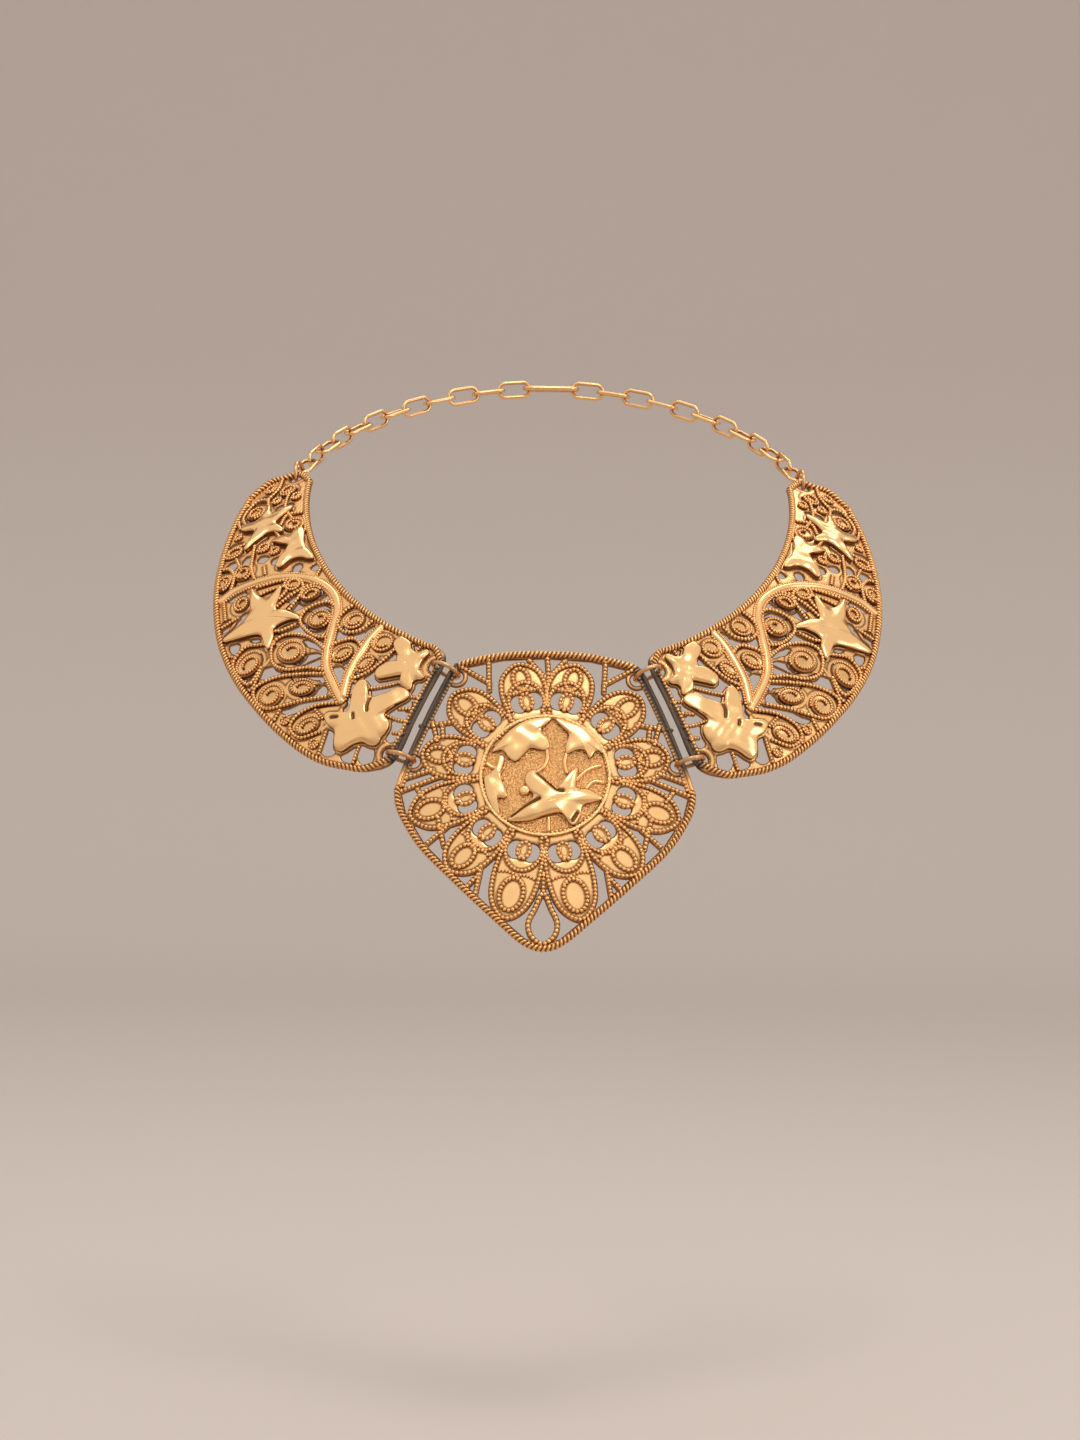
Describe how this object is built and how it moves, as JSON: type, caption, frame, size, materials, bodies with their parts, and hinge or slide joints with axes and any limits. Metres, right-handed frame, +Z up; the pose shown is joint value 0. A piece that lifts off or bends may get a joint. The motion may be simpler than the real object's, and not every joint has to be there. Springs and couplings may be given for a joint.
{
  "type": "bib necklace",
  "caption": "Gilt bib necklace worn as a collar: a pierced shield plate between two pierced crescents on jump rings, closed behind by a cable chain.",
  "frame": {"origin": "the middle of the neck that the necklace goes round, at the height of the crescents' rear ends", "axes": "+X to the viewer's right when the necklace is seen from its front; the front faces -Y; +Z up, as worn"},
  "size_m": [0.1852, 0.1732, 0.1639],
  "materials": {
    "polished_gold": "polished gilt, tarnished in its recesses",
    "coppery_gold": "worn gilt, coppery"
  },
  "bodies": {
    "root": {"centre_panel": "polished_gold", "left_collar_panel": "polished_gold", "right_collar_panel": "polished_gold", "panel_ring_left_upper": "coppery_gold", "panel_ring_left_lower": "coppery_gold", "panel_ring_right_upper": "coppery_gold", "panel_ring_right_lower": "coppery_gold", "end_ring_left": "coppery_gold", "end_ring_right": "coppery_gold", "chain_left_01": "polished_gold", "chain_left_02": "polished_gold", "chain_left_03": "polished_gold", "chain_left_04": "polished_gold", "chain_left_05": "polished_gold", "chain_left_06": "polished_gold", "chain_left_07": "polished_gold", "chain_left_08": "polished_gold", "chain_left_09": "polished_gold", "chain_left_10": "polished_gold", "chain_left_11": "polished_gold", "chain_left_12": "polished_gold", "chain_right_01": "polished_gold", "chain_right_02": "polished_gold", "chain_right_03": "polished_gold", "chain_right_04": "polished_gold", "chain_right_05": "polished_gold", "chain_right_06": "polished_gold", "chain_right_07": "polished_gold", "chain_right_08": "polished_gold", "chain_right_09": "polished_gold", "chain_right_10": "polished_gold", "chain_right_11": "polished_gold", "chain_right_12": "polished_gold", "hook_clasp": "polished_gold"}
  },
  "joints": []
}
